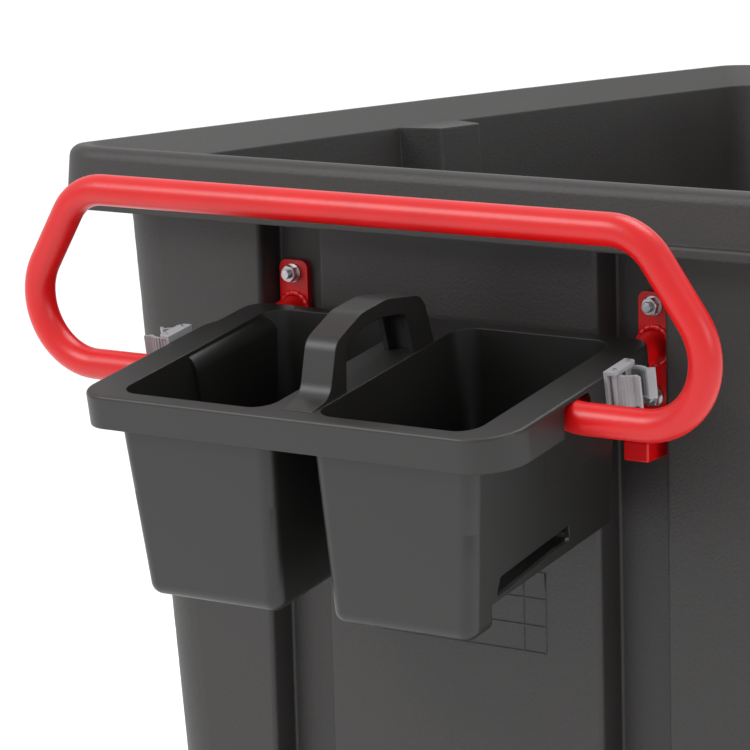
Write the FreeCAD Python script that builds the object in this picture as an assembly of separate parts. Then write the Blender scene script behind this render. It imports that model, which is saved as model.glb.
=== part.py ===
"""Mobile housekeeping cart: moulded tub on casters with a tube push handle and a lift-off two-bin caddy.

Millimetres. +X right, +Y away from the handle end, +Z up. Origin on the floor at the middle of the tub.
Every named piece is one STEP file in parts/.
"""
import math
import os

import FreeCAD
import Part

V = FreeCAD.Vector

# ---------------------------------------------------------------- driving sizes
# tub
TUB_TOP_Z = 1080.0          # rim top above the floor
TUB_BOTTOM_Z = 190.0        # underside of the tub floor
BODY_HALF_W_TOP = 314.0     # outer wall, half width just under the rim
BODY_HALF_W_BOTTOM = 246.0
BODY_HALF_L_TOP = 498.0     # outer wall, half length just under the rim
BODY_HALF_L_BOTTOM = 458.0
WALL = 4.0
FLOOR_T = 5.0
CORNER_R = 50.0
SIDE_BOW = 10.0             # how far the long sides bulge at the middle
END_BOW = 3.0
# rim
RIM_HEIGHT = 46.0
RIM_HALF_W = 348.0
RIM_HALF_L = 523.0
RIM_CORNER_R = 40.0
RIM_FLAT = 12.0             # top edge to the start of the band that slopes down inside
RIM_SLOPE_DROP = 17.0       # how far the band drops to the inner wall
LIP = 8.0                   # bottom lip of the rim: projection and height
# recessed channels in both end walls
CHANNEL_X = 144.0           # centre of a channel from the middle of the cart
CHANNEL_W = 54.0
CHANNEL_DEPTH = 20.0
CHANNEL_DRAFT = 3.5
CHANNEL_FLOOR_R = 2.0
CHANNEL_MOUTH_R = 4.0
# channels in the long sides
SIDE_CHANNEL_Y = -53.0
SIDE_CHANNEL_W = 84.0
SIDE_CHANNEL_DEPTH = 24.0
# handle tube
TUBE_D = 22.2
TUBE_WALL = 1.6
BAR_DROP = 16.0             # top bar centre below the rim top
BAR_OUT = 140.0             # top bar centre out from the end wall
ARM_OUT = 125.0             # lower arm centre out from the end wall
ARM_DROP = 143.7            # lower arm centre below the rim top
LOOP_HALF_W = 274.4         # outermost tube centre line
LOOP_R = 47.0
TOP_BEND_R = 40.0
INNER_BEND_R = 32.0
LOOP_LEAN = 33.5            # degrees, diagonal of the loop from the vertical
BRACKET_X = 153.0
# bracket plate
PLATE_W = 25.0
PLATE_T = 5.0
PLATE_UP = 71.0             # top edge above the reference height
PLATE_DOWN = 43.0           # bottom edge below the reference height
BOLT_UP = 61.5
BOLT_SPACING = 63.5
FOOT_W = 20.0
FOOT_H = 14.0
FOOT_OUT = 27.0
BOLT_D = 6.35
# caddy
REF_DROP = 148.0            # caddy front edge below the rim top
CADDY_OUT = 216.0           # caddy front edge out from the end wall
CADDY_TILT = 11.8           # degrees, front edge down
CADDY_HALF_W = 174.8
CADDY_BACK_HALF_W = 170.0
CADDY_DEPTH = 206.0
CADDY_FLANGE = 29.5         # side flange width
CADDY_FRONT_FLANGE = 12.0
CADDY_BACK_FLANGE = 11.0
CADDY_SKIRT = 24.0
CADDY_WALL = 3.0
CADDY_CORNER_R = 34.0
CADDY_LEFT_CORNER_R = 22.0
DIVIDER_W = 38.0
BIN_DEPTH = 146.0
BIN_LEAN_OUTER = 14.0       # how far each bin wall leans in over the bin's depth
BIN_LEAN_INNER = 6.0
BIN_LEAN_FRONT = -9.0
BIN_LEAN_BACK = 14.0
BIN_MOUTH_R = 16.0
BIN_LOW_R = 7.0
BIN_OUTER_R = 10.0
BIN_STEP_W = 32.0              # slanted underside along the low outer edge of a bin
BIN_STEP_H = 21.0
BIN_STEP_S = 26.0
HANDLE_W = 25.0
# tool clips
CLIP_S = 143.0              # clip centre, back from the caddy front edge
CLIP_LEFT_S = 124.0
CLIP_H = 27.0
CLIP_GRIP_R = 8.0
# casters
WHEEL_D = 150.0
TYRE_W = 38.0
CASTER_X = 178.0
CASTER_Y = 359.0
TRAIL = 36.0
# clearances
RUN = 0.05                  # shaft in bearing, radial
FREE = 0.3                  # curved faces of different bodies
GAP = 1.0                   # flat faces of different bodies

REF_Z = TUB_TOP_Z - REF_DROP
T = math.radians(CADDY_TILT)


# ---------------------------------------------------------------- helpers
def box(x0, x1, y0, y1, z0, z1):
    return Part.makeBox(x1 - x0, y1 - y0, z1 - z0, V(x0, y0, z0))


def cyl(r, p, d, length):
    return Part.makeCylinder(r, length, V(*p), V(*d))


def ring(r_out, r_in, p, d, length):
    return cyl(r_out, p, d, length).cut(cyl(r_in, p, d, length))


def arc_corner(a, b, c, r):
    """Start, middle and end of the arc of radius r that rounds corner b."""
    u = (a - b).normalize()
    w = (c - b).normalize()
    half = u.getAngle(w) / 2.0
    t = r / math.tan(half)
    start = b + u * t
    end = b + w * t
    mid_dir = (u + w).normalize()
    centre = b + mid_dir * (r / math.sin(half))
    return start, centre - mid_dir * r, end


def rounded_edges(points, radii, closed=True):
    n = len(points)
    edges = []
    last = None
    first = None
    for i in range(n):
        r = radii[i]
        if (not closed and i in (0, n - 1)) or r == 0:
            s = e = points[i]
            mid = None
        else:
            s, mid, e = arc_corner(points[i - 1], points[i], points[(i + 1) % n], r)
        if last is not None and (s - last).Length > 1e-6:
            edges.append(Part.makeLine(last, s))
        if mid is not None:
            edges.append(Part.Arc(s, mid, e).toShape())
        if first is None:
            first = s
        last = e
    if closed and (first - last).Length > 1e-6:
        edges.append(Part.makeLine(last, first))
    return edges


def face(points, radii):
    return Part.Face(Part.Wire(rounded_edges([V(*p) for p in points], radii)))


def prism(points, radii, vec):
    return face(points, radii).extrude(V(*vec))


def plate(x0, x1, y0, y1, z0, z1, r):
    """Flat plate in XY with rounded corners."""
    return prism([(x0, y0, z0), (x1, y0, z0), (x1, y1, z0), (x0, y1, z0)], [r] * 4, (0, 0, z1 - z0))


def fuse(shapes):
    out = shapes[0].multiFuse(shapes[1:]) if len(shapes) > 1 else shapes[0]
    return out.removeSplitter()


def mirror_x(s):
    return s.mirror(V(0, 0, 0), V(1, 0, 0))


def mirror_y(s):
    return s.mirror(V(0, 0, 0), V(0, 1, 0))


def hexagon(af, p, d, length, turn=0.0):
    """Hexagonal prism, af across flats, from p along d."""
    pts = []
    for i in range(7):
        a = math.radians(60 * i + turn)
        pts.append(V(af / math.sqrt(3) * math.cos(a), af / math.sqrt(3) * math.sin(a), 0))
    s = Part.Face(Part.makePolygon(pts)).extrude(V(0, 0, length))
    s.Placement = FreeCAD.Placement(V(*p), FreeCAD.Rotation(V(0, 0, 1), V(*d)))
    return s


def make_nut(af, thread_d, p, d, length):
    """Hexagon nut with chamfered outer corners, bored for its thread."""
    r = af / math.sqrt(3)
    dome = Part.makeCylinder(r, length, V(0, 0, 0), V(0, 0, 1))
    dome = dome.makeChamfer(0.6, [e for e in dome.Edges if e.BoundBox.ZMin > length - 0.01])
    dome.Placement = FreeCAD.Placement(V(*p), FreeCAD.Rotation(V(0, 0, 1), V(*d)))
    return hexagon(af, p, d, length, 15.0).common(dome).cut(cyl(thread_d / 2 + 0.01, p, d, length))


# ---------------------------------------------------------------- tub
def at_height(z, top, bottom):
    return bottom + (top - bottom) * (z - TUB_BOTTOM_Z) / (TUB_TOP_Z - RIM_HEIGHT - TUB_BOTTOM_Z)


def end_wall_y(z):
    """Outer face of the far end wall at height z (the handle end is its mirror)."""
    return at_height(z, BODY_HALF_L_TOP, BODY_HALF_L_BOTTOM)


def side_wall_x(z):
    return at_height(z, BODY_HALF_W_TOP, BODY_HALF_W_BOTTOM)


def bowed_wire(hw, hl, z):
    a, b, c, d = V(-hw, -hl, z), V(hw, -hl, z), V(hw, hl, z), V(-hw, hl, z)
    e1 = Part.Arc(a, V(0, -hl - END_BOW, z), b).toShape()
    e2 = Part.Arc(b, V(hw + SIDE_BOW, 0, z), c).toShape()
    e3 = Part.Arc(c, V(0, hl + END_BOW, z), d).toShape()
    e4 = Part.Arc(d, V(-hw - SIDE_BOW, 0, z), a).toShape()
    return Part.Wire([e1, e2, e3, e4])


def bowed_ring(hw, hl, z, r):
    """Bowed outline with rounded corners at height z."""
    s = Part.Face(bowed_wire(hw, hl, z)).extrude(V(0, 0, 1))
    s = s.makeFillet(r, [e for e in s.Edges if e.BoundBox.ZLength > 0.5])
    return [f for f in s.Faces if f.BoundBox.ZMax < z + 0.01][0].OuterWire


def bowed_solid(hw0, hl0, z0, hw1, hl1, z1, r, foot_r=0.0):
    s = Part.makeLoft([bowed_wire(hw0, hl0, z0), bowed_wire(hw1, hl1, z1)], True, True)
    up = [e for e in s.Edges if abs(e.Vertexes[0].Z - e.Vertexes[-1].Z) > 1.0]
    s = s.makeFillet(r, up)
    if foot_r > 0:
        low = [e for e in s.Edges if e.BoundBox.ZMax < z0 + 0.01]
        s = s.makeFillet(foot_r, low)
    return s


def body_block(inset, z0, z1, foot_r):
    return bowed_solid(side_wall_x(z0) - inset, end_wall_y(z0) - inset, z0,
                       side_wall_x(z1) - inset, end_wall_y(z1) - inset, z1, CORNER_R - inset, foot_r)


def end_channel(x, grow, z0, z1):
    """Tapered groove in the far end wall; grow widens it for the inside of the wall."""
    half = CHANNEL_W / 2 + grow
    left = x - half
    right = x + half
    wires = []
    for z in (z0, z1):
        yo = end_wall_y(z)
        floor_y = yo - CHANNEL_DEPTH - grow
        out_y = yo + 14
        lean = CHANNEL_DRAFT
        mouth = [yo + 0.1 + END_BOW * (1 - (e / side_wall_x(z)) ** 2) for e in (left, right)]
        pts = [V(left + lean, floor_y, z), V(right - lean, floor_y, z), V(right, mouth[1], z),
               V(right + 12, mouth[1], z), V(right + 12, out_y, z), V(left - 12, out_y, z),
               V(left - 12, mouth[0], z), V(left, mouth[0], z)]
        radii = [CHANNEL_FLOOR_R, CHANNEL_FLOOR_R, CHANNEL_MOUTH_R, 0, 0, 0, 0, CHANNEL_MOUTH_R]
        wires.append(Part.Wire(rounded_edges(pts, radii)))
    return Part.makeLoft(wires, True, True)


def side_channel(grow, z0, z1):
    """Tapered groove in the +X side."""
    half = SIDE_CHANNEL_W / 2 + grow
    wires = []
    for z in (z0, z1):
        xo = side_wall_x(z) + SIDE_BOW
        floor_x = xo - SIDE_CHANNEL_DEPTH - SIDE_BOW - grow
        face_x = xo + 0.1
        pts = [V(floor_x, -half + 16, z), V(face_x, -half, z), V(face_x, -half - 14, z), V(xo + 12, -half - 14, z),
               V(xo + 12, half + 14, z), V(face_x, half + 14, z), V(face_x, half, z), V(floor_x, half - 16, z)]
        pts = [p + V(0, SIDE_CHANNEL_Y, 0) for p in pts]
        wires.append(Part.Wire(rounded_edges(pts, [8, 6, 0, 0, 0, 0, 6, 8])))
    return Part.makeLoft(wires, True, True)


def make_tub():
    z0 = TUB_BOTTOM_Z
    z1 = TUB_TOP_Z
    rim_z = z1 - RIM_HEIGHT
    outer = body_block(0.0, z0, z1 - 1, 14.0)
    inner = body_block(WALL, z0 + FLOOR_T, z1 + 20, 14.0)
    cut_z = rim_z + 6
    grooves = []
    ribs = []
    for sx in (-1, 1):
        for far in (True, False):
            g = end_channel(sx * CHANNEL_X, 0.0, z0 - 30, cut_z)
            b = end_channel(sx * CHANNEL_X, WALL, z0 - 30, cut_z + WALL)
            grooves.append(g if far else mirror_y(g))
            ribs.append(b if far else mirror_y(b))
    g = side_channel(0.0, z0 - 30, cut_z)
    b = side_channel(WALL, z0 - 30, z1 + 2)
    grooves += [g, mirror_x(g)]
    ribs += [b, mirror_x(b)]
    hollow = inner
    for b in ribs:
        hollow = hollow.cut(b)
    # rim: a cap turned down over the wall, with a small lip along its lower edge and a band sloping inwards on top
    cap = bowed_solid(RIM_HALF_W + 2, RIM_HALF_L + 2, rim_z, RIM_HALF_W, RIM_HALF_L, z1, RIM_CORNER_R)
    cap = cap.makeFillet(9.0, [e for e in cap.Edges if e.BoundBox.ZMin > z1 - 0.01])
    band_z = z1 - RIM_SLOPE_DROP
    band = Part.makeLoft([
        bowed_ring(side_wall_x(band_z) - WALL + 0.5, end_wall_y(band_z) - WALL + 0.5, band_z, CORNER_R - WALL),
        bowed_ring(RIM_HALF_W - RIM_FLAT, RIM_HALF_L - RIM_FLAT, z1 + 0.5, RIM_CORNER_R - 8)], True, True)
    under = bowed_solid(RIM_HALF_W + 2 - WALL, RIM_HALF_L + 2 - WALL, rim_z - 1, RIM_HALF_W - WALL - 1,
                        RIM_HALF_L - WALL - 1, z1 - 6, RIM_CORNER_R - WALL)
    low_band = band.copy()
    low_band.translate(V(0, 0, -6))
    lip = Part.Face(bowed_wire(RIM_HALF_W + LIP, RIM_HALF_L + LIP - 2, rim_z)).extrude(V(0, 0, LIP))
    lip = lip.makeFillet(RIM_CORNER_R + LIP, [e for e in lip.Edges if e.BoundBox.ZLength > 1])
    lip = lip.makeFillet(2.5, [e for e in lip.Edges if e.BoundBox.ZMin > rim_z + LIP - 0.01])
    shell = cap.fuse(lip).cut(under.cut(low_band))
    body = outer.fuse(shell)
    for g in grooves:
        body = body.cut(g)
    body = body.cut(band)
    body = body.cut(hollow)
    return body.removeSplitter()


# ---------------------------------------------------------------- handle
def rel(x, out, up):
    """Point given by x, distance out from the handle end wall and height above the reference."""
    return V(x, -end_wall_y(REF_Z) - out, REF_Z + up)


def handle_corners():
    """Corner points and bend radii of the tube's centre line, right bracket to left bracket."""
    lean = math.radians(LOOP_LEAN)
    arm_up = REF_DROP - ARM_DROP
    bar_up = REF_DROP - BAR_DROP
    slope = math.tan(T)
    start = -CHANNEL_DEPTH + PLATE_T + 0.9
    p0 = rel(BRACKET_X, start, arm_up + (ARM_OUT - start) * slope)
    p1 = rel(BRACKET_X, ARM_OUT, arm_up)
    reach = LOOP_R / math.tan(math.radians(90 - (90 + LOOP_LEAN) / 2))
    xc = LOOP_HALF_W - LOOP_R + reach
    p2 = rel(xc, ARM_OUT, arm_up)
    p3 = rel(xc - (bar_up - arm_up) * math.tan(lean), BAR_OUT, bar_up)
    right = [p0, p1, p2, p3]
    left = [V(-p.x, p.y, p.z) for p in reversed(right)]
    radii = [0, INNER_BEND_R, LOOP_R, TOP_BEND_R, TOP_BEND_R, LOOP_R, INNER_BEND_R, 0]
    return right + left, radii


def swept(radius, points, radii):
    wire = Part.Wire(rounded_edges(points, radii, closed=False))
    d = (points[1] - points[0]).normalize()
    section = Part.Wire([Part.makeCircle(radius, points[0], d)])
    return wire.makePipeShell([section], True, False)


def make_handle():
    points, radii = handle_corners()
    return swept(TUBE_D / 2, points, radii).cut(swept(TUBE_D / 2 - TUBE_WALL, points, radii))


def channel_floor_y(z):
    return -(end_wall_y(z) - CHANNEL_DEPTH)


def plate_frame(shape):
    """Lean a shape modelled upright at the reference height so that it lies on the channel floor."""
    slope = (BODY_HALF_L_TOP - BODY_HALF_L_BOTTOM) / (TUB_TOP_Z - RIM_HEIGHT - TUB_BOTTOM_Z)
    base = V(0, channel_floor_y(REF_Z), REF_Z)
    out = shape.copy()
    out.rotate(V(0, 0, 0), V(1, 0, 0), math.degrees(math.atan(slope)))
    out.translate(base)
    return out


BOLT_ZS = (BOLT_UP, BOLT_UP - BOLT_SPACING)


def make_bracket_plate():
    h = PLATE_W / 2
    shape = prism([(BRACKET_X - h, 0, -PLATE_DOWN), (BRACKET_X + h, 0, -PLATE_DOWN), (BRACKET_X + h, 0, PLATE_UP),
                   (BRACKET_X - h, 0, PLATE_UP)], [1.5, 1.5, 6, 6], (0, -PLATE_T, 0))
    for z in BOLT_ZS:
        shape = shape.cut(cyl(BOLT_D / 2 + FREE, (BRACKET_X, 1, z), (0, -1, 0), PLATE_T + 2))
    return plate_frame(shape)


def make_foot():
    """Square tab standing out from the bottom of the plate."""
    shape = box(BRACKET_X - FOOT_W / 2, BRACKET_X + FOOT_W / 2, -PLATE_T - FOOT_OUT, -PLATE_T, -PLATE_DOWN,
                -PLATE_DOWN + FOOT_H)
    edges = [e for e in shape.Edges if e.BoundBox.YLength > 5 or e.BoundBox.YMax < -PLATE_T - FOOT_OUT + 0.1]
    return plate_frame(shape.makeFillet(1.5, edges))


def make_backing():
    h = PLATE_W / 2 + 6
    y0 = WALL * 1.01 + 0.05
    shape = plate(BRACKET_X - h, BRACKET_X + h, -PLATE_DOWN + 14, PLATE_UP, 0, 2.0, 5.0)
    shape.rotate(V(0, 0, 0), V(1, 0, 0), 90)
    shape.translate(V(0, y0 + 2.0, 0))
    for z in BOLT_ZS:
        shape = shape.cut(cyl(BOLT_D / 2 + FREE, (BRACKET_X, -20, z), (0, 1, 0), 40))
    return plate_frame(shape)


def wall_holes():
    shape = [cyl(BOLT_D / 2 + FREE, (BRACKET_X, 12, z), (0, -1, 0), 24) for z in BOLT_ZS]
    return [plate_frame(s) for s in shape]


def make_bracket_hardware():
    """Bolts with domed heads inside the tub, flat washers and nuts outside."""
    bolts = []
    washers = []
    nuts = []
    inside = WALL * 1.01 + 2.05
    for z in BOLT_ZS:
        shank = cyl(BOLT_D / 2, (BRACKET_X, inside, z), (0, -1, 0), inside + PLATE_T + 11)
        head = cyl(7.2, (BRACKET_X, inside, z), (0, 1, 0), 3.6)
        head = head.makeFillet(3.0, [e for e in head.Edges if e.BoundBox.YMin > inside + 3.5])
        bolts.append(shank.fuse(head))
        washers.append(ring(6.9, BOLT_D / 2 + FREE, (BRACKET_X, -PLATE_T, z), (0, -1, 0), 1.6))
        nuts.append(make_nut(11.1, BOLT_D, (BRACKET_X, -PLATE_T - 1.6, z), (0, -1, 0), 5.6))
    out = []
    for group in (bolts, washers, nuts):
        both = [plate_frame(s) for s in group]
        both += [mirror_x(s) for s in both]
        out.append(Part.makeCompound(both))
    return out


# ---------------------------------------------------------------- caddy
# modelled in its own frame: x, s back from the front edge, h up from the flange top; then tilted and placed
def caddy_place(shape):
    out = shape.copy()
    out.rotate(V(0, 0, 0), V(1, 0, 0), CADDY_TILT)
    out.translate(V(0, -end_wall_y(REF_Z) - CADDY_OUT, REF_Z))
    return out


def caddy_outline(inset, h):
    w = CADDY_HALF_W - inset
    b = CADDY_BACK_HALF_W - inset
    s0 = inset
    s1 = CADDY_DEPTH - inset
    pts = [(-w, s0, h), (w, s0, h), (w, 150, h), (b, 162, h), (b, s1, h), (-b, s1, h), (-b, 162, h), (-w, 150, h)]
    q = 16.0 - inset
    return pts, [CADDY_LEFT_CORNER_R - inset, CADDY_CORNER_R - inset, 8, 8, q, q, 8, 8]


def tapered_box(top, low, r_top, r_low, h_low):
    """Loft from one rounded rectangle (x0, x1, s0, s1) at the flange top to another at h_low."""
    wires = []
    for (x0, x1, s0, s1), r, h in ((top, r_top, 0.0), (low, r_low, h_low)):
        pts = [V(x0, s0, h), V(x1, s0, h), V(x1, s1, h), V(x0, s1, h)]
        wires.append(Part.Wire(rounded_edges(pts, [r] * 4)))
    return Part.makeLoft(wires, True, True)


def right_bin(grow, h_low, r_top, r_low):
    """The right-hand bin as a solid from the flange top down to h_low, grown outward by grow."""
    x0 = DIVIDER_W / 2 - grow
    x1 = CADDY_HALF_W - CADDY_FLANGE + grow
    s0 = CADDY_FRONT_FLANGE - grow
    s1 = CADDY_DEPTH - CADDY_BACK_FLANGE + grow
    low = (x0 + BIN_LEAN_INNER, x1 - BIN_LEAN_OUTER, s0 + BIN_LEAN_FRONT, s1 - BIN_LEAN_BACK)
    b = tapered_box((x0, x1, s0, s1), low, r_top, r_low, h_low)
    return b.makeFillet(6.0 + grow, [e for e in b.Edges if e.BoundBox.ZMax < h_low + 0.01])


def bin_step(inset):
    """Wedge that slants the low outer edge of the right bin; inset moves it into the bin for the inside."""
    x1 = CADDY_HALF_W - CADDY_FLANGE + CADDY_WALL - BIN_LEAN_OUTER + 3 - inset
    low = -BIN_DEPTH - 1
    start = BIN_STEP_S - inset
    return prism([(x1 - BIN_STEP_W, start, low + inset), (x1, start, low + BIN_STEP_H + inset),
                  (x1 + 40, start, low + BIN_STEP_H + inset), (x1 + 40, start, low - 20),
                  (x1 - BIN_STEP_W, start, low - 20)], [0] * 5, (0, CADDY_DEPTH, 0))


def arm_place():
    """Where the handle's lower arm runs in the caddy's frame: distance back and height of its centre line."""
    along = CADDY_OUT - ARM_OUT
    up = REF_DROP - ARM_DROP
    return along * math.cos(T) + up * math.sin(T), up * math.cos(T) - along * math.sin(T)


def leg_groove(grow):
    """Room beside a bin for the handle's right leg, open downwards so that the caddy lifts off."""
    s0, h = arm_place()
    r = TUBE_D / 2 + 0.4 + grow
    start = s0 + 6 - grow
    length = CADDY_DEPTH + 10 - start
    groove = cyl(r, (BRACKET_X, start, h), (0, 1, 0), length)
    return groove.fuse(box(BRACKET_X - r, BRACKET_X + 30, start, start + length, -71 - grow, h))


def make_caddy():
    pts, radii = caddy_outline(0.0, -CADDY_SKIRT)
    block = prism(pts, radii, (0, 0, CADDY_SKIRT))
    block = block.makeFillet(2.4, [e for e in block.Edges if e.BoundBox.ZMin > -0.01])
    pts, radii = caddy_outline(CADDY_WALL, -CADDY_SKIRT - 1)
    under = prism(pts, radii, (0, 0, CADDY_SKIRT + 1 - CADDY_WALL))
    shell = right_bin(CADDY_WALL, -BIN_DEPTH, BIN_OUTER_R, BIN_OUTER_R)
    shell = shell.cut(box(-200, 200, -50, 300, -0.5, 5))
    shell = shell.cut(leg_groove(0.0)).cut(bin_step(0.0))
    hollow = right_bin(0.0, -BIN_DEPTH + CADDY_WALL, BIN_MOUTH_R, BIN_LOW_R)
    hollow = hollow.cut(leg_groove(2.5)).cut(bin_step(CADDY_WALL * 0.8))
    body = block.cut(under)
    body = body.fuse([shell, mirror_x(shell)])
    body = body.cut(hollow).cut(mirror_x(hollow))
    # notches that let the handle's lower arms out through the side skirts and its legs through the back skirt
    front = arm_place()[0] - TUBE_D / 2 - 0.9
    back = arm_place()[0] + 21
    notch = prism([(100, front - 3, -CADDY_SKIRT - 1), (100, front, -CADDY_WALL), (100, back, -CADDY_WALL),
                   (100, back, -CADDY_SKIRT - 1)], [0, 4, 4, 0], (120, 0, 0))
    w = TUBE_D / 2 + 1.5
    rear = box(BRACKET_X - w, BRACKET_X + w, CADDY_DEPTH - 14, CADDY_DEPTH + 1, -CADDY_SKIRT - 1, -CADDY_WALL)
    notch_r = notch.fuse(rear).cut(shell)
    body = body.cut(notch_r).cut(mirror_x(notch_r))
    # drain slot low in the outer wall of each bin
    slot = prism([(100, 38, -111), (100, 124, -108), (100, 126, -120), (100, 108, -119), (100, 32, -124)],
                 [2, 2, 4, 4, 2], (60, 0, 0))
    body = body.cut(slot).cut(mirror_x(slot))
    return body.removeSplitter()


HANDLE_X = 5.0


def make_caddy_handle():
    """Arched carry handle on the divider, an inverted channel section open underneath."""
    top = [(14, 0), (37, 3), (51, 37), (84, 47), (114, 47), (156, 36), (163, 0)]
    low = [(138, 0), (134, 30), (108, 36), (85, 37), (62, 33), (56, 0)]
    x0 = HANDLE_X - HANDLE_W / 2
    radii = [0, 14, 14, 25, 40, 16, 0, 0, 10, 25, 25, 12, 0]
    outer = prism([(x0, s, h) for s, h in top + low], radii, (HANDLE_W, 0, 0))
    trough = [(145, -1), (143, 26), (108, 40), (85, 41), (62, 38), (50, 20), (47, -1)]
    inner = prism([(x0 + 4, s, h) for s, h in trough], [0, 10, 25, 25, 8, 0, 0], (HANDLE_W - 8, 0, 0))
    return outer.cut(inner)


# ---------------------------------------------------------------- tool clips, in the caddy's frame, right side
CLIP_X = CADDY_HALF_W + 13.0      # centre of the grip
BASE_T = 2.6
PIVOT_X = CADDY_HALF_W + 5.9
PIVOT_S = 9.0                     # pivot from the clip centre
BARREL_R = 2.8
PIN_R = 1.2
LUG_T = 2.5
CLIP_LOW = -23.0
SCREW_S = (-3.2, 3.2)
SCREW_UP = 8.0


def sector(r_in, r_out, a0, a1, h0, h1):
    """Ring sector about the grip centre; angles in degrees from +X, negative towards the front."""
    ring_s = ring(r_out, r_in, (CLIP_X, CLIP_S, h0), (0, 0, 1), h1 - h0)
    pts = [V(CLIP_X, CLIP_S, h0)]
    for i in range(5):
        a = math.radians(a0 + (a1 - a0) * i / 4.0)
        pts.append(V(CLIP_X + 40 * math.cos(a), CLIP_S + 40 * math.sin(a), h0))
    wedge = Part.Face(Part.makePolygon(pts + [pts[0]])).extrude(V(0, 0, h1 - h0))
    return ring_s.common(wedge)


def mirror_s(shape):
    return shape.mirror(V(0, CLIP_S, 0), V(0, 1, 0))


def make_clip():
    x0 = CADDY_HALF_W
    low = CLIP_LOW
    top = CLIP_LOW + CLIP_H
    # base: back plate with a lug above and below the jaws
    back = box(x0, x0 + BASE_T, CLIP_S - 14, CLIP_S + 14, low, top)
    lugs = []
    for h in (low, top - LUG_T):
        lug = prism([(x0, CLIP_S - 14, h), (x0 + 10, CLIP_S - 14, h), (x0 + 10, CLIP_S + 14, h), (x0, CLIP_S + 14, h)],
                    [0, 5, 5, 0], (0, 0, LUG_T))
        for ps in (-PIVOT_S, PIVOT_S):
            lug = lug.cut(cyl(PIN_R + 0.01, (PIVOT_X, CLIP_S + ps, h), (0, 0, 1), LUG_T))
        lugs.append(lug)
    base = fuse([back] + lugs)
    for ps in SCREW_S:
        base = base.cut(cyl(1.5, (x0 - 1, CLIP_S + ps, low + SCREW_UP), (1, 0, 0), 10))
    # front jaw: barrel, curved arm, flared tip with grip ridges
    j0 = low + LUG_T + FREE
    j1 = top - LUG_T - FREE
    arm = sector(CLIP_GRIP_R + 1.2, CLIP_GRIP_R + 3.2, -146, -42, j0, j1)
    a = math.radians(-42)
    rm = CLIP_GRIP_R + 2.2
    tip = V(CLIP_X + rm * math.cos(a), CLIP_S + rm * math.sin(a), j0)
    flare = prism([(tip.x - 1.5, tip.y - 0.6, j0), (tip.x + 0.5, tip.y + 1.0, j0), (tip.x + 5.6, tip.y - 2.6, j0),
                   (tip.x + 4.6, tip.y - 4.2, j0)], [0, 0.8, 0.8, 0.8], (0, 0, j1 - j0))
    barrel = cyl(BARREL_R, (PIVOT_X, CLIP_S - PIVOT_S, j0), (0, 0, 1), j1 - j0)
    jaw = fuse([arm, flare, barrel])
    for i in range(5):
        ang = math.radians(-58 - 13 * i)
        r = CLIP_GRIP_R + 3.1
        jaw = jaw.fuse(cyl(0.7, (CLIP_X + r * math.cos(ang), CLIP_S + r * math.sin(ang), j0), (0, 0, 1), j1 - j0))
    jaw = jaw.cut(cyl(PIN_R + RUN, (PIVOT_X, CLIP_S - PIVOT_S, j0 - 1), (0, 0, 1), j1 - j0 + 2))
    pad = sector(CLIP_GRIP_R - 0.4, CLIP_GRIP_R + 1.2, -118, -46, j0 + 2, j1 - 2)
    pins = [cyl(PIN_R, (PIVOT_X, CLIP_S + ps, low), (0, 0, 1), top - low + 1.0) for ps in (-PIVOT_S, PIVOT_S)]
    return {
        "clip_base": base,
        "clip_front_jaw": jaw.removeSplitter(),
        "clip_rear_jaw": mirror_s(jaw.removeSplitter()),
        "clip_front_pad": pad,
        "clip_rear_pad": mirror_s(pad),
        "clip_pins": Part.makeCompound(pins),
    }


def left_clip(shape):
    out = mirror_x(shape)
    out.translate(V(0, CLIP_LEFT_S - CLIP_S, 0))
    return caddy_place(out)


def make_clip_screws():
    out = []
    for ps in SCREW_S:
        p = (CADDY_HALF_W + BASE_T, CLIP_S + ps, CLIP_LOW + SCREW_UP)
        head = cyl(2.5, p, (1, 0, 0), 1.2)
        head = head.cut(box(p[0] + 0.6, p[0] + 2, p[1] - 1.9, p[1] + 1.9, p[2] - 0.35, p[2] + 0.35))
        shank = cyl(1.48, (CADDY_HALF_W, p[1], p[2]), (1, 0, 0), BASE_T)
        out.append(head.fuse(shank))
    return Part.makeCompound(out)


# ---------------------------------------------------------------- casters, modelled about their plate's centre
WHEEL_R = WHEEL_D / 2
HUB_R = 54.0
AXLE_R = 6.0
KINGPIN_R = 8.0
TOP_T = 5.0
PLATE_HX = 50.0
PLATE_HY = 44.0
HOLE_X = 38.0
HOLE_Y = 32.0
CASTER_BOLT_D = 8.0
RACE_Z = 177.5              # underside of the fixed raceway
CROWN_T = 8.0
LEG_T = 3.5
LEG_GAP = 46.0
PEDAL_Y = -60.0
PEDAL_Z = 161.0


def moved(shape, x, y):
    out = shape.copy()
    out.translate(V(x, y, 0))
    return out


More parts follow.
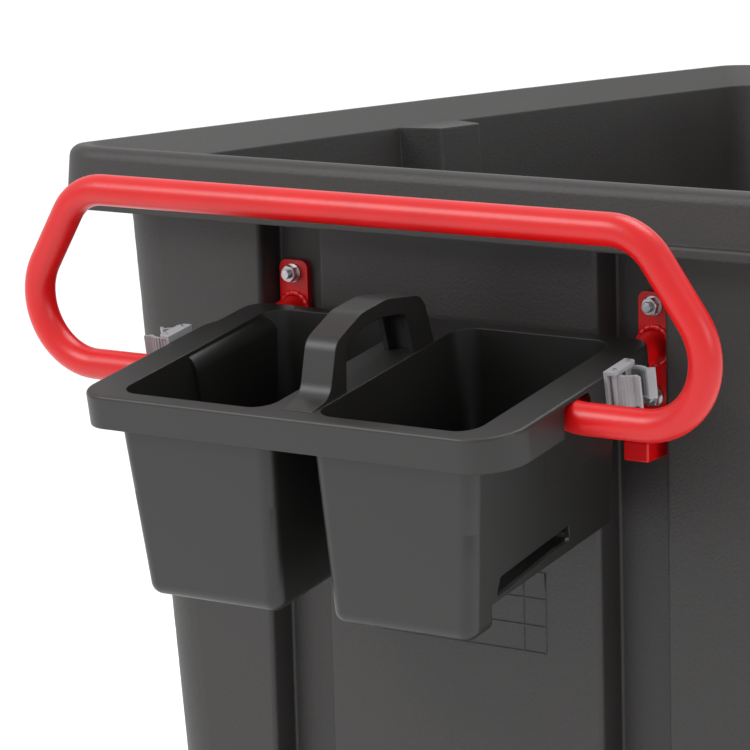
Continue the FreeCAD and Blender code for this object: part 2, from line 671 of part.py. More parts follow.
def make_wheel(y):
    tyre = ring(WHEEL_R, HUB_R, (-TYRE_W / 2, y, WHEEL_R), (1, 0, 0), TYRE_W)
    tyre = tyre.makeFillet(9.0, [e for e in tyre.Edges if e.BoundBox.ZMax > WHEEL_D - 1 and e.BoundBox.XLength < 1])
    web = ring(HUB_R, AXLE_R + RUN, (-TYRE_W / 2 + 3, y, WHEEL_R), (1, 0, 0), TYRE_W - 6)
    for side in (-1, 1):
        x = side * (TYRE_W / 2 - 3)
        web = web.cut(ring(HUB_R - 7, 20, (x, y, WHEEL_R), (-side, 0, 0), 11))
    boss = ring(17, AXLE_R + RUN, (-LEG_GAP / 2 + GAP, y, WHEEL_R), (1, 0, 0), LEG_GAP - 2 * GAP)
    hub = web.fuse(boss)
    for i in range(6):
        a = math.radians(60 * i)
        rib = box(-TYRE_W / 2 + 4, TYRE_W / 2 - 4, -2, 2, 15, HUB_R - 3)
        rib.rotate(V(0, 0, 0), V(1, 0, 0), math.degrees(a))
        rib.translate(V(0, y, WHEEL_R))
        hub = hub.fuse(rib)
    hub = hub.cut(cyl(AXLE_R + RUN, (-40, y, WHEEL_R), (1, 0, 0), 80))
    return tyre, hub.removeSplitter()


def make_legs(y_axle, profile, radii, top_z):
    legs = []
    for side in (-1, 1):
        x = side * LEG_GAP / 2
        leg = prism([(x, y, z) for y, z in profile], radii, (side * LEG_T, 0, 0))
        leg = leg.fuse(cyl(17, (x, y_axle, WHEEL_R), (side, 0, 0), LEG_T))
        legs.append(leg.cut(cyl(AXLE_R + 0.01, (x, y_axle, WHEEL_R), (side, 0, 0), LEG_T)))
    return legs


def make_axle(y):
    """Axle bolt with a hexagon head; its nut is a separate piece."""
    reach = LEG_GAP / 2 + LEG_T
    shank = cyl(AXLE_R, (-reach, y, WHEEL_R), (1, 0, 0), 2 * reach + 12)
    head = hexagon(18, (-reach, y, WHEEL_R), (-1, 0, 0), 7)
    nut = make_nut(18, 2 * AXLE_R, (reach, y, WHEEL_R), (1, 0, 0), 9.0)
    return shank.fuse(head), nut


def top_plate(hole_r, race):
    z1 = TUB_BOTTOM_Z
    p = plate(-PLATE_HX, PLATE_HX, -PLATE_HY, PLATE_HY, z1 - TOP_T, z1, 8.0)
    if race:
        dome = cyl(34, (0, 0, RACE_Z), (0, 0, 1), z1 - TOP_T - RACE_Z)
        p = p.fuse(dome.makeChamfer(2.0, [e for e in dome.Edges if e.BoundBox.ZMax < RACE_Z + 0.01]))
        p = p.cut(cyl(KINGPIN_R, (0, 0, RACE_Z - 1), (0, 0, 1), z1 - RACE_Z - 1))
    for sx in (-1, 1):
        for sy in (-1, 1):
            p = p.cut(cyl(hole_r, (sx * HOLE_X, sy * HOLE_Y, z1 - TOP_T - 1), (0, 0, 1), TOP_T + 2))
    return p


def make_swivel_caster():
    y = -TRAIL
    plate_s = top_plate(CASTER_BOLT_D / 2 + FREE, True)
    crown_z = RACE_Z - 0.5 - CROWN_T
    crown = cyl(36, (0, 0, crown_z), (0, 0, 1), CROWN_T)
    bridge = box(-LEG_GAP / 2 - LEG_T, LEG_GAP / 2 + LEG_T, -34, 30, crown_z, crown_z + 5)
    profile = [(30, crown_z + 5), (-66, crown_z + 5), (-67, 150), (-52, 76), (-22, 70), (22, 140)]
    legs = make_legs(y, profile, [3, 6, 10, 2, 2, 12], crown_z)
    fork = fuse([crown, bridge] + legs)
    fork = fork.cut(cyl(KINGPIN_R + RUN, (0, 0, crown_z - 1), (0, 0, 1), CROWN_T + 2))
    fork = fork.cut(cyl(2.5 + RUN, (-40, PEDAL_Y, PEDAL_Z), (1, 0, 0), 80))
    pin_top = TUB_BOTTOM_Z - 1.0
    kingpin = cyl(KINGPIN_R, (0, 0, crown_z - 0.5), (0, 0, 1), pin_top - crown_z - 1.5)
    head = cyl(13, (0, 0, crown_z - 6.5), (0, 0, 1), 6.0)
    head = head.makeChamfer(1.0, [e for e in head.Edges if e.BoundBox.ZMax < crown_z - 6.0])
    kingpin = kingpin.fuse(head)
    tyre, hub = make_wheel(y)
    axle, nut = make_axle(y)
    # brake pedal: barrel between the legs' ears, tread plate, shoe over the tyre
    barrel = cyl(5.0, (-LEG_GAP / 2 + GAP, PEDAL_Y, PEDAL_Z), (1, 0, 0), LEG_GAP - 2 * GAP)
    tread = prism([(-20, PEDAL_Y - 2, PEDAL_Z + 4.5), (-20, PEDAL_Y - 44, PEDAL_Z + 2), (-20, PEDAL_Y - 58, PEDAL_Z - 6),
                   (-20, PEDAL_Y - 57, PEDAL_Z - 9), (-20, PEDAL_Y - 43, PEDAL_Z - 2), (-20, PEDAL_Y - 2, PEDAL_Z)],
                  [0, 10, 1, 1, 8, 0], (40, 0, 0))
    shoe_y = PEDAL_Y - 22
    tyre_top = WHEEL_R + math.sqrt(WHEEL_R ** 2 - (shoe_y - 4 - y) ** 2)
    shoe = box(-14, 14, shoe_y - 4, shoe_y + 4, tyre_top + 10.5, PEDAL_Z + 2)
    stub = cyl(2.5, (-LEG_GAP / 2 - LEG_T, PEDAL_Y, PEDAL_Z), (1, 0, 0), LEG_GAP + 2 * LEG_T)
    pedal = fuse([barrel, tread, shoe, stub])
    return {"top_plate": plate_s, "fork": fork, "kingpin": kingpin, "tyre": tyre, "hub": hub, "axle": axle,
            "axle_nut": nut, "pedal": pedal}


def make_rigid_caster():
    z1 = TUB_BOTTOM_Z
    plate_s = top_plate(CASTER_BOLT_D / 2 + FREE, False)
    profile = [(34, z1 - TOP_T), (-34, z1 - TOP_T), (-34, 165), (-15, 76), (15, 76), (34, 165)]
    legs = make_legs(0, profile, [0, 0, 12, 2, 2, 12], z1)
    bracket = fuse([plate_s] + legs)
    tyre, hub = make_wheel(0)
    axle, nut = make_axle(0)
    return {"bracket": bracket, "tyre": tyre, "hub": hub, "axle": axle, "axle_nut": nut}


def bolt_points():
    for sx in (-1, 1):
        for sy in (-1, 1):
            for hx in (-HOLE_X, HOLE_X):
                for hy in (-HOLE_Y, HOLE_Y):
                    yield sx * CASTER_X + hx, sy * CASTER_Y + hy


def caster_holes():
    return [cyl(CASTER_BOLT_D / 2 + FREE, (x, y, TUB_BOTTOM_Z - 1), (0, 0, 1), FLOOR_T + 2) for x, y in bolt_points()]


def make_caster_hardware():
    """Domed bolt heads on the tub's floor, nuts under the caster plates."""
    bolts = []
    nuts = []
    top = TUB_BOTTOM_Z + FLOOR_T
    for x, y in bolt_points():
        head = cyl(9.0, (x, y, top), (0, 0, 1), 4.0)
        head = head.makeFillet(2.5, [e for e in head.Edges if e.BoundBox.ZMin > top + 3.9])
        bolts.append(head.fuse(cyl(CASTER_BOLT_D / 2, (x, y, top - 18.5), (0, 0, 1), 18.5)))
        nuts.append(make_nut(13.0, CASTER_BOLT_D, (x, y, TUB_BOTTOM_Z - TOP_T), (0, 0, -1), 6.5))
    return Part.makeCompound(bolts), Part.makeCompound(nuts)


def main():
    os.makedirs("parts", exist_ok=True)
    nodes = {}
    tub = make_tub()
    for hole in wall_holes():
        tub = tub.cut(hole)
        tub = tub.cut(mirror_x(hole))
    for hole in caster_holes():
        tub = tub.cut(hole)
    nodes["tub"] = tub
    nodes["bracket_plate_right"] = make_bracket_plate()
    nodes["bracket_plate_left"] = mirror_x(nodes["bracket_plate_right"])
    tube = make_handle().cut(nodes["bracket_plate_right"])
    nodes["handle_tube"] = tube.cut(nodes["bracket_plate_left"])
    nodes["bracket_foot_right"] = make_foot()
    nodes["bracket_foot_left"] = mirror_x(nodes["bracket_foot_right"])
    nodes["backing_plate_right"] = make_backing()
    nodes["backing_plate_left"] = mirror_x(nodes["backing_plate_right"])
    bolts, washers, nuts = make_bracket_hardware()
    nodes["bracket_bolts"] = bolts
    nodes["bracket_washers"] = washers
    nodes["bracket_nuts"] = nuts
    nodes["caddy"] = caddy_place(make_caddy())
    nodes["caddy_handle"] = caddy_place(make_caddy_handle())
    clip = make_clip()
    for name, shape in clip.items():
        nodes[name + "_right"] = caddy_place(shape)
        nodes[name + "_left"] = left_clip(shape)
    screws = make_clip_screws()
    nodes["clip_screws"] = Part.makeCompound([caddy_place(screws), left_clip(screws)])
    near = make_swivel_caster()
    for name, shape in near.items():
        nodes["near_right_" + name] = moved(shape, CASTER_X, -CASTER_Y)
        nodes["near_left_" + name] = moved(shape, -CASTER_X, -CASTER_Y)
    far = make_rigid_caster()
    for name, shape in far.items():
        nodes["far_right_" + name] = moved(shape, CASTER_X, CASTER_Y)
        nodes["far_left_" + name] = moved(shape, -CASTER_X, CASTER_Y)
    bolts, nuts = make_caster_hardware()
    nodes["caster_bolts"] = bolts
    nodes["caster_nuts"] = nuts
    for name, shape in nodes.items():
        print(name, shape.isValid(), len(shape.Solids), round(shape.Volume), shape.BoundBox)
        shape.exportStep("parts/%s.step" % name)


main()
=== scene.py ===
"""Looks for the wheeled tub cart: finishes, small formed details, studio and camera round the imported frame."""
import math

import bmesh
import bpy
from mathutils import Matrix, Vector


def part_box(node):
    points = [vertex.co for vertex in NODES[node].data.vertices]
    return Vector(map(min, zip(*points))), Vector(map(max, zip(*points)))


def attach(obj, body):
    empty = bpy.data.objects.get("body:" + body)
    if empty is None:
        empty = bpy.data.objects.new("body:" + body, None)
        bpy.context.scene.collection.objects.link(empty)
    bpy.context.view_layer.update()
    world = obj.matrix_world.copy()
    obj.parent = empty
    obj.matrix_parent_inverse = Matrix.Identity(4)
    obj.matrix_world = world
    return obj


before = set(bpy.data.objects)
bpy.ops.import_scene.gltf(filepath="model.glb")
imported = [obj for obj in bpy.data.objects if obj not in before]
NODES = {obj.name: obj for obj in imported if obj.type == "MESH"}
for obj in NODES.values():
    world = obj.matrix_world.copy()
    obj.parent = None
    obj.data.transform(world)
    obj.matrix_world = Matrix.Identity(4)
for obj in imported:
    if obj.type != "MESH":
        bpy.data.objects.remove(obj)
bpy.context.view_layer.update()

bl_info = {
    "name": "Wheeled tub cart looks",
    "version": (1, 0, 0),
    "blender": (4, 5, 0),
    "location": "View3D > Sidebar > Cart",
    "description": "Finishes and formed details of a housekeeping tub cart",
    "category": "Object",
}

# the tub's end wall, as in its source: heights, half lengths and half widths there
TUB_LOW_Z, TUB_HIGH_Z = 0.190, 1.034
END_LOW, END_HIGH, END_BOW = 0.458, 0.498, 0.003
SIDE_LOW, SIDE_HIGH = 0.246, 0.314
# the bracket bolts: side offset, plate's reference height, heights from it, groove depth, radius
BOLT_X = 0.153
REF_Z = 0.932
BOLT_UPS = (0.0615, -0.002)
GROOVE_DEPTH = 0.020
BOLT_R = 0.003175
# the handle tube's radius and the height at which it meets its bracket plates
TUBE_R = 0.0111
TUBE_END_Z = 0.9655
# the blank moulded table: heights of its lines across, side offsets of its upright lines
TABLE_ROWS = (0.797, 0.7775, 0.7575, 0.738)
TABLE_COLUMNS = (-0.068, 0.0535, 0.072)
# area lights: name, place, point aimed at, size in metres, power in watts
LIGHTS = (
    ("key", (-1.9, -3.2, 3.2), (0.0, -0.5, 0.9), 1.6, 70.0),
    ("side", (3.4, -1.0, 2.0), (0.0, -0.3, 0.8), 1.4, 22.0),
    ("top", (0.2, 0.6, 4.0), (0.0, -0.1, 0.9), 2.0, 60.0),
)
CAMERA_PLACE = (1.3911, -2.5969, 1.3331)
CAMERA_TURN = (90 - 9.027, 0.0, 34.811)
CAMERA_LENS = 172.65


# ---------------------------------------------------------------- settings
class CartFinish(bpy.types.PropertyGroup):
    tub_colour: bpy.props.StringProperty(
        name="Tub", description="Moulded tub plastic, sRGB hex", default="#262423")
    caddy_colour: bpy.props.StringProperty(
        name="Caddy", description="Moulded caddy plastic, sRGB hex", default="#191817")
    handle_colour: bpy.props.StringProperty(
        name="Handle", description="Powder coat on the steel handle, sRGB hex", default="#bf0509")
    clip_colour: bpy.props.StringProperty(
        name="Tool clips", description="Nylon of the tool clips, sRGB hex", default="#8f8f92")
    tyre_colour: bpy.props.StringProperty(
        name="Tyres", description="Non-marking rubber, sRGB hex", default="#5b5b5e")
    grain: bpy.props.FloatProperty(
        name="Tub grain", description="Width of one pip of the tub's moulded grain", default=0.0016,
        min=0.0005, max=0.005, subtype="DISTANCE", unit="LENGTH")


class CartSizes(bpy.types.PropertyGroup):
    weld_width: bpy.props.FloatProperty(
        name="Weld bead", description="Thickness of the weld bead round the tube's foot", default=0.0042,
        subtype="DISTANCE", unit="LENGTH")
    thread_pitch: bpy.props.FloatProperty(
        name="Thread pitch", description="Pitch of the bracket bolts' thread", default=0.00127,
        subtype="DISTANCE", unit="LENGTH")
    grid_line: bpy.props.FloatProperty(
        name="Panel line", description="Width of the raised lines of the blank moulded panel", default=0.0012,
        subtype="DISTANCE", unit="LENGTH")


# ---------------------------------------------------------------- material helpers
def linear(hex_colour):
    """sRGB hex to a linear RGBA tuple."""
    out = []
    for i in (1, 3, 5):
        c = int(hex_colour[i:i + 2], 16) / 255.0
        out.append(c / 12.92 if c <= 0.04045 else ((c + 0.055) / 1.055) ** 2.4)
    return (*out, 1.0)


def shade(hex_colour, factor):
    r, g, b, a = linear(hex_colour)
    return (r * factor, g * factor, b * factor, a)


def add(tree, kind, settings=None, **links):
    """Adds one node; settings go to its attributes or sockets, links join its inputs."""
    n = tree.nodes.new(kind)
    for key, value in (settings or {}).items():
        if isinstance(key, str) and hasattr(n, key):
            setattr(n, key, value)
        else:
            n.inputs[key].default_value = value
    for key, source in links.items():
        name = int(key[1:]) if key[0] == "i" and key[1:].isdigit() else key.replace("_", " ")
        tree.links.new(source, n.inputs[name])
    return n


def new_material(name):
    m = bpy.data.materials.new(name)
    m.use_nodes = True
    t = m.node_tree
    shader = t.nodes["Principled BSDF"]
    coords = t.nodes.new("ShaderNodeTexCoord")
    return m, t, shader, coords.outputs["Object"]


def ramp(tree, source, low, high, a, b):
    n = add(tree, "ShaderNodeValToRGB", None, Fac=source)
    e = n.color_ramp.elements
    e[0].position, e[1].position = low, high
    e[0].color, e[1].color = a, b
    return n.outputs["Color"]


def finish_bump(tree, height, distance, strength=1.0, normal=None):
    n = add(tree, "ShaderNodeBump", {"Distance": distance, "Strength": strength}, Height=height)
    if normal is not None:
        tree.links.new(normal, n.inputs["Normal"])
    return n.outputs["Normal"]


def grained_plastic(name, colour, pip, depth, rough, edge):
    """Moulded polyethylene from an etched tool: pips, slow mottling and softly rounded edges."""
    m, t, s, co = new_material(name)
    # grain: one pip is `pip` metres wide, so cells per metre is its inverse
    pips = add(t, "ShaderNodeTexVoronoi", {"Scale": 1.0 / pip, "feature": "SMOOTH_F1"}, Vector=co)
    fine = add(t, "ShaderNodeTexNoise", {"Scale": 0.7 / pip, "Detail": 3.0, "Roughness": 0.6}, Vector=co)
    slow = add(t, "ShaderNodeTexNoise", {"Scale": 9.0, "Detail": 4.0}, Vector=co)
    mix = add(t, "ShaderNodeMath", {"operation": "ADD"}, i0=pips.outputs["Distance"], i1=fine.outputs["Fac"])
    soft = add(t, "ShaderNodeBevel", {"samples": 4, "Radius": edge})
    n = finish_bump(t, mix.outputs[0], depth, 0.8, soft.outputs["Normal"])
    t.links.new(n, s.inputs["Normal"])
    base = ramp(t, slow.outputs["Fac"], 0.3, 0.7, shade(colour, 0.93), shade(colour, 1.07))
    speck = ramp(t, fine.outputs["Fac"], 0.35, 0.72, (0.86, 0.86, 0.86, 1), (1.12, 1.12, 1.12, 1))
    tone = add(t, "ShaderNodeMix", {"data_type": "RGBA", "blend_type": "MULTIPLY", 0: 1.0}, i6=base, i7=speck)
    t.links.new(tone.outputs[2], s.inputs["Base Color"])
    r = add(t, "ShaderNodeMapRange", {"To Min": rough - 0.05, "To Max": rough + 0.07},
            Value=slow.outputs["Fac"])
    t.links.new(r.outputs["Result"], s.inputs["Roughness"])
    s.inputs["IOR"].default_value = 1.51
    return m


def satin_plastic(name, colour, rough, ior, grain, depth, edge=0.0006):
    """Moulded polypropylene or nylon from a finely blasted tool: even satin with a faint orange peel."""
    m, t, s, co = new_material(name)
    peel = add(t, "ShaderNodeTexNoise", {"Scale": 1.0 / grain, "Detail": 2.0}, Vector=co)
    slow = add(t, "ShaderNodeTexNoise", {"Scale": 14.0, "Detail": 5.0}, Vector=co)
    soft = add(t, "ShaderNodeBevel", {"samples": 4, "Radius": edge})
    n = finish_bump(t, peel.outputs["Fac"], depth, 0.6, soft.outputs["Normal"])
    t.links.new(n, s.inputs["Normal"])
    base = ramp(t, slow.outputs["Fac"], 0.3, 0.75, shade(colour, 0.94), shade(colour, 1.08))
    t.links.new(base, s.inputs["Base Color"])
    r = add(t, "ShaderNodeMapRange", {"To Min": rough - 0.04, "To Max": rough + 0.06},
            Value=slow.outputs["Fac"])
    t.links.new(r.outputs["Result"], s.inputs["Roughness"])
    s.inputs["IOR"].default_value = ior
    return m


def powder_coat(name, colour):
    """Gloss polyester powder coat on steel: saturated, wet-looking, with the coat's shallow orange peel."""
    m, t, s, co = new_material(name)
    peel = add(t, "ShaderNodeTexNoise", {"Scale": 1.0 / 0.0035, "Detail": 1.5}, Vector=co)
    slow = add(t, "ShaderNodeTexNoise", {"Scale": 22.0, "Detail": 4.0}, Vector=co)
    soft = add(t, "ShaderNodeBevel", {"samples": 4, "Radius": 0.0006})
    n = finish_bump(t, peel.outputs["Fac"], 0.00012, 0.7, soft.outputs["Normal"])
    t.links.new(n, s.inputs["Normal"])
    base = ramp(t, slow.outputs["Fac"], 0.3, 0.7, shade(colour, 0.93), shade(colour, 1.05))
    t.links.new(base, s.inputs["Base Color"])
    s.inputs["Roughness"].default_value = 0.36
    s.inputs["IOR"].default_value = 1.45
    s.inputs["Coat Weight"].default_value = 0.06
    s.inputs["Coat Roughness"].default_value = 0.15
    return m


def zinc_plate(name):
    """Bright zinc plating on rolled or turned steel: cool metal with faint spangle and fine tool marks."""
    m, t, s, co = new_material(name)
    spangle = add(t, "ShaderNodeTexVoronoi", {"Scale": 1.0 / 0.006}, Vector=co)
    marks = add(t, "ShaderNodeTexNoise", {"Scale": 1.0 / 0.0008, "Detail": 3.0}, Vector=co)
    base = ramp(t, spangle.outputs["Color"], 0.0, 1.0, linear("#a9abae"), linear("#d3d5d8"))
    t.links.new(base, s.inputs["Base Color"])
    r = add(t, "ShaderNodeMapRange", {"To Min": 0.22, "To Max": 0.42}, Value=marks.outputs["Fac"])
    t.links.new(r.outputs["Result"], s.inputs["Roughness"])
    soft = add(t, "ShaderNodeBevel", {"samples": 4, "Radius": 0.0005})
    n = finish_bump(t, marks.outputs["Fac"], 0.00005, 0.5, soft.outputs["Normal"])
    t.links.new(n, s.inputs["Normal"])
    s.inputs["Metallic"].default_value = 1.0
    return m


def rubber(name, colour, rough):
    """Moulded rubber: deep matt, slightly dusty in random patches."""
    m, t, s, co = new_material(name)
    dust = add(t, "ShaderNodeTexNoise", {"Scale": 60.0, "Detail": 6.0, "Roughness": 0.65}, Vector=co)
    skin = add(t, "ShaderNodeTexNoise", {"Scale": 1.0 / 0.0011, "Detail": 2.0}, Vector=co)
    base = ramp(t, dust.outputs["Fac"], 0.35, 0.75, shade(colour, 0.86), shade(colour, 1.2))
    t.links.new(base, s.inputs["Base Color"])
    n = finish_bump(t, skin.outputs["Fac"], 0.00012, 0.7)
    t.links.new(n, s.inputs["Normal"])
    r = add(t, "ShaderNodeMapRange", {"To Min": rough, "To Max": rough + 0.15}, Value=dust.outputs["Fac"])
    t.links.new(r.outputs["Result"], s.inputs["Roughness"])
    s.inputs["IOR"].default_value = 1.52
    return m


MATERIALS = {}


def use(material_name, *node_names):
    m = MATERIALS[material_name]
    for name in node_names:
        if name not in NODES:
            raise RuntimeError("no packed node named " + name)
        data = NODES[name].data
        data.materials.clear()
        data.materials.append(m)


def named(*parts):
    """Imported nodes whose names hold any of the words."""
    return [n for n in NODES if any(p in n for p in parts)]


def piece(name, bm, material_name, body):
    mesh = bpy.data.meshes.new(name)
    bm.normal_update()
    bm.to_mesh(mesh)
    bm.free()
    ob = bpy.data.objects.new(name, mesh)
    bpy.context.scene.collection.objects.link(ob)
    mesh.materials.append(MATERIALS[material_name])
    for p in mesh.polygons:
        p.use_smooth = True
    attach(ob, body)
    return ob


# ---------------------------------------------------------------- operators
class CART_OT_finishes(bpy.types.Operator):
    """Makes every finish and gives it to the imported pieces"""
    bl_idname = "cart.finishes"
    bl_label = "Finishes"

    def execute(self, context):
        f = context.scene.cart_finish
        # structural-foam polyethylene, grained tool, warm near-black
        MATERIALS["tub_hdpe"] = grained_plastic(
            "HDPE_grained_moulded", f.tub_colour, f.grain, 0.00016, 0.52, 0.0022)
        # polypropylene, smoother satin tool
        MATERIALS["caddy_pp"] = satin_plastic(
            "PP_satin_moulded", f.caddy_colour, 0.40, 1.49, 0.0016, 0.00006, 0.0012)
        # steel tube and plate, gloss polyester powder
        MATERIALS["red_powder"] = powder_coat("Powder_coat_gloss_steel", f.handle_colour)
        MATERIALS["zinc"] = zinc_plate("Zinc_plated_steel")
        # glass-filled nylon, pale grey
        MATERIALS["clip_nylon"] = satin_plastic(
            "Nylon_moulded_grey", f.clip_colour, 0.45, 1.53, 0.0012, 0.00005)
        MATERIALS["pad_rubber"] = rubber("EPDM_moulded_dark", "#4a4b4c", 0.6)
        MATERIALS["tyre_rubber"] = rubber("TPR_tyre_moulded", f.tyre_colour, 0.62)
        MATERIALS["hub_pp"] = satin_plastic("PP_hub_moulded", "#2a2a2b", 0.48, 1.49, 0.0014, 0.00006)
        use("tub_hdpe", "tub")
        use("caddy_pp", "caddy", "caddy_handle")
        use("red_powder", "handle_tube", *named("bracket_plate", "bracket_foot", "pedal"))
        use("zinc", *named("backing_plate", "bracket_bolts", "bracket_washers", "bracket_nuts", "clip_pins",
                           "clip_screws", "top_plate", "fork", "kingpin", "axle", "far_right_bracket",
                           "far_left_bracket", "caster_bolts", "caster_nuts"))
        use("clip_nylon", *named("clip_base", "front_jaw", "rear_jaw"))
        use("pad_rubber", *named("front_pad", "rear_pad"))
        use("tyre_rubber", *named("tyre"))
        use("hub_pp", *named("hub"))
        return {"FINISHED"}


class CART_OT_welds(bpy.types.Operator):
    """Adds the rippled weld bead where each tube end meets its bracket plate"""
    bl_idname = "cart.welds"
    bl_label = "Weld beads"

    def execute(self, context):
        width = context.scene.cart_sizes.weld_width
        low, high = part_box("bracket_plate_right")
        for side, sx in (("right", 1), ("left", -1)):
            bm = bmesh.new()
            centre = Vector((sx * BOLT_X, low[1] + 0.0012, TUBE_END_Z))
            rings, spokes = 72, 8
            rad = TUBE_R + 0.0012
            verts = []
            for i in range(rings):
                a = 2 * math.pi * i / rings
                ripple = 1.0 + 0.16 * math.sin(a * 16) + 0.05 * math.sin(a * 5 + sx)
                row = []
                for k in range(spokes):
                    b = 2 * math.pi * k / spokes
                    rr = rad + width * 0.5 * ripple * math.cos(b)
                    yy = width * 0.45 * ripple * math.sin(b)
                    place = Vector((rr * math.cos(a), -yy, rr * math.sin(a) * 1.03))
                    row.append(bm.verts.new(centre + place))
                verts.append(row)
            for i in range(rings):
                for k in range(spokes):
                    bm.faces.new((verts[i][k], verts[(i + 1) % rings][k],
                                  verts[(i + 1) % rings][(k + 1) % spokes], verts[i][(k + 1) % spokes]))
            piece("weld_bead_" + side, bm, "red_powder", "cart")
        return {"FINISHED"}


def sweep(bm, path, across, up, width, height, spokes=6):
    """A half-round bead along path; across and up are unit vectors of its section."""
    rows = []
    for p in path:
        row = []
        for k in range(spokes + 1):
            a = math.pi * k / spokes
            row.append(bm.verts.new(p + across * (width / 2 * math.cos(a)) + up * (height * math.sin(a))))
        rows.append(row)
    for r0, r1 in zip(rows, rows[1:]):
        for k in range(spokes):
            bm.faces.new((r0[k], r0[k + 1], r1[k + 1], r1[k]))
    for row, flip in ((rows[0], False), (rows[-1], True)):
        bm.faces.new(row if flip else row[::-1])


def end_wall(x, z):
    """Point on the outer face of the handle-end wall."""
    t = (z - TUB_LOW_Z) / (TUB_HIGH_Z - TUB_LOW_Z)
    y = END_LOW + (END_HIGH - END_LOW) * t
    half = SIDE_LOW + (SIDE_HIGH - SIDE_LOW) * t
    return Vector((x, -y - END_BOW * (1 - (x / half) ** 2), z))


class CART_OT_panel_lines(bpy.types.Operator):
    """Adds the blank raised-line table moulded into the tub's middle panel"""
    bl_idname = "cart.panel_lines"
    bl_label = "Moulded table"

    def execute(self, context):
        width = context.scene.cart_sizes.grid_line
        out = Vector((0, -1, 0))
        bm = bmesh.new()
        for z in TABLE_ROWS:
            across = TABLE_COLUMNS[-1] - TABLE_COLUMNS[0]
            path = [end_wall(TABLE_COLUMNS[0] + across * i / 12, z) for i in range(13)]
            sweep(bm, path, Vector((0, 0, 1)), out, width, width * 0.45)
        for x in TABLE_COLUMNS:
            path = [end_wall(x, TABLE_ROWS[-1] + (TABLE_ROWS[0] - TABLE_ROWS[-1]) * i / 4) for i in range(5)]
            sweep(bm, path, Vector((1, 0, 0)), out, width, width * 0.45)
        bmesh.ops.recalc_face_normals(bm, faces=bm.faces)
        piece("moulded_table", bm, "tub_hdpe", "cart")
        return {"FINISHED"}


class CART_OT_threads(bpy.types.Operator):
    """Adds the thread on the bare end of each bracket bolt"""
    bl_idname = "cart.threads"
    bl_label = "Bolt threads"

    def execute(self, context):
        pitch = context.scene.cart_sizes.thread_pitch
        lean = math.atan2(END_HIGH - END_LOW, TUB_HIGH_Z - TUB_LOW_Z)
        turn = Matrix.Rotation(lean, 4, "X")
        rise = (REF_Z - TUB_LOW_Z) / (TUB_HIGH_Z - TUB_LOW_Z)
        base = Vector((0, -(END_LOW + (END_HIGH - END_LOW) * rise - GROOVE_DEPTH), REF_Z))
        # one ridge of the thread: offset along the bolt and radius of its foot, crest and foot
        ridge = ((-pitch * 0.42, BOLT_R - 0.0001), (0.0, BOLT_R + 0.0004), (pitch * 0.42, BOLT_R - 0.0001))
        bm = bmesh.new()
        for sx in (-1, 1):
            for z in BOLT_UPS:
                steps = int(24 * 0.0034 / pitch)
                rows = []
                for i in range(steps + 1):
                    a = 2 * math.pi * i / 24
                    y = -0.0124 - pitch * i / 24
                    radial = Vector((math.cos(a), 0, math.sin(a)))
                    row = []
                    for off, r in ridge:
                        p = turn @ (radial * r + Vector((0, y + off, z))) + base
                        row.append(bm.verts.new(p + Vector((sx * BOLT_X, 0, 0))))
                    rows.append(row)
                for r0, r1 in zip(rows, rows[1:]):
                    bm.faces.new((r0[0], r0[1], r1[1], r1[0]))
                    bm.faces.new((r0[1], r0[2], r1[2], r1[1]))
                    bm.faces.new((r0[2], r0[0], r1[0], r1[2]))
                bm.faces.new(rows[0])
                bm.faces.new(rows[-1][::-1])
        bmesh.ops.recalc_face_normals(bm, faces=bm.faces)
        piece("bolt_threads", bm, "zinc", "cart")
        return {"FINISHED"}


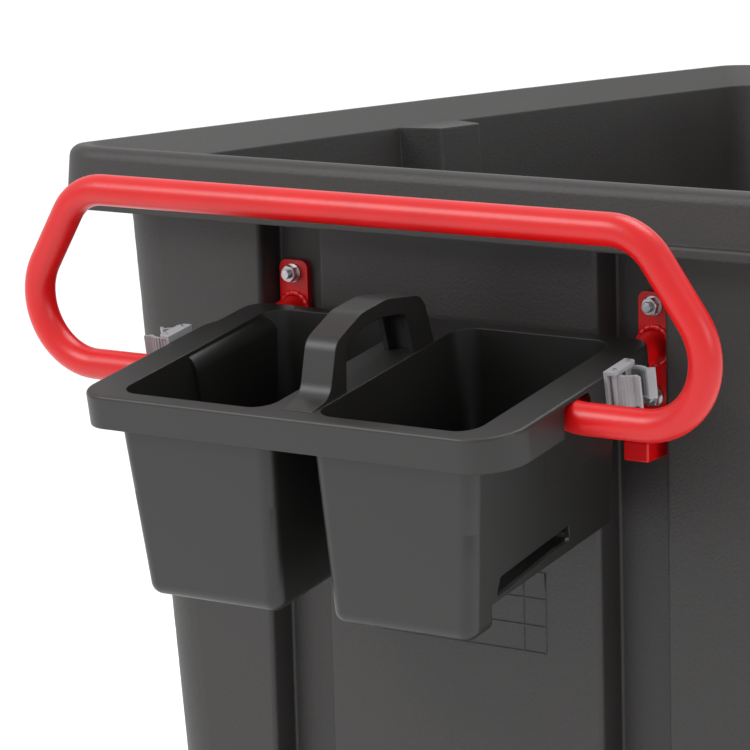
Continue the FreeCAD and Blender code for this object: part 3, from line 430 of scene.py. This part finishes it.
class CART_OT_studio(bpy.types.Operator):
    """Adds the pale floor, soft lights and the camera"""
    bl_idname = "cart.studio"
    bl_label = "Studio"

    def execute(self, context):
        scene = context.scene
        bm = bmesh.new()
        bmesh.ops.create_grid(bm, x_segments=8, y_segments=8, size=30.0)
        mesh = bpy.data.meshes.new("studio_floor")
        bm.to_mesh(mesh)
        bm.free()
        floor = bpy.data.objects.new("studio_floor", mesh)
        scene.collection.objects.link(floor)
        m, t, s, co = new_material("Paper_backdrop_white")
        s.inputs["Base Color"].default_value = linear("#fafafa")
        s.inputs["Emission Color"].default_value = linear("#ffffff")
        s.inputs["Emission Strength"].default_value = 0.16
        s.inputs["Roughness"].default_value = 0.9
        mesh.materials.append(m)
        world = bpy.data.worlds.new("studio_world")
        scene.world = world
        world.use_nodes = True
        world.node_tree.nodes["Background"].inputs["Color"].default_value = (1, 1, 1, 1)
        world.node_tree.nodes["Background"].inputs["Strength"].default_value = 0.93
        for name, place, aim, size, power in LIGHTS:
            light = bpy.data.lights.new(name, "AREA")
            light.size = size
            light.energy = power
            ob = bpy.data.objects.new(name, light)
            ob.location = place
            ob.rotation_euler = (Vector(aim) - Vector(place)).to_track_quat("-Z", "Y").to_euler()
            scene.collection.objects.link(ob)
        cam = bpy.data.cameras.new("camera")
        cam.sensor_width = 36.0
        cam.lens = CAMERA_LENS
        cam.clip_end = 100.0
        ob = bpy.data.objects.new("camera", cam)
        ob.location = CAMERA_PLACE
        ob.rotation_euler = [math.radians(a) for a in CAMERA_TURN]
        scene.collection.objects.link(ob)
        scene.camera = ob
        scene.view_settings.view_transform = "Standard"
        return {"FINISHED"}


class CART_PT_panel(bpy.types.Panel):
    """Lists the cart's operators and settings"""
    bl_idname = "CART_PT_panel"
    bl_label = "Cart"
    bl_space_type = "VIEW_3D"
    bl_region_type = "UI"
    bl_category = "Cart"

    def draw(self, context):
        for op in STEPS:
            self.layout.operator(op)
        for group in (context.scene.cart_finish, context.scene.cart_sizes):
            for key in group.__annotations__:
                self.layout.prop(group, key)


CLASSES = (CartFinish, CartSizes, CART_OT_finishes, CART_OT_welds, CART_OT_panel_lines, CART_OT_threads,
           CART_OT_studio, CART_PT_panel)
STEPS = ("cart.finishes", "cart.welds", "cart.panel_lines", "cart.threads", "cart.studio")


def register():
    for c in CLASSES:
        bpy.utils.register_class(c)
    bpy.types.Scene.cart_finish = bpy.props.PointerProperty(type=CartFinish)
    bpy.types.Scene.cart_sizes = bpy.props.PointerProperty(type=CartSizes)


def unregister():
    del bpy.types.Scene.cart_sizes
    del bpy.types.Scene.cart_finish
    for c in reversed(CLASSES):
        bpy.utils.unregister_class(c)


def main():
    register()
    for step in STEPS:
        group, name = step.split(".")
        getattr(getattr(bpy.ops, group), name)()


if __name__ == "__main__":
    main()
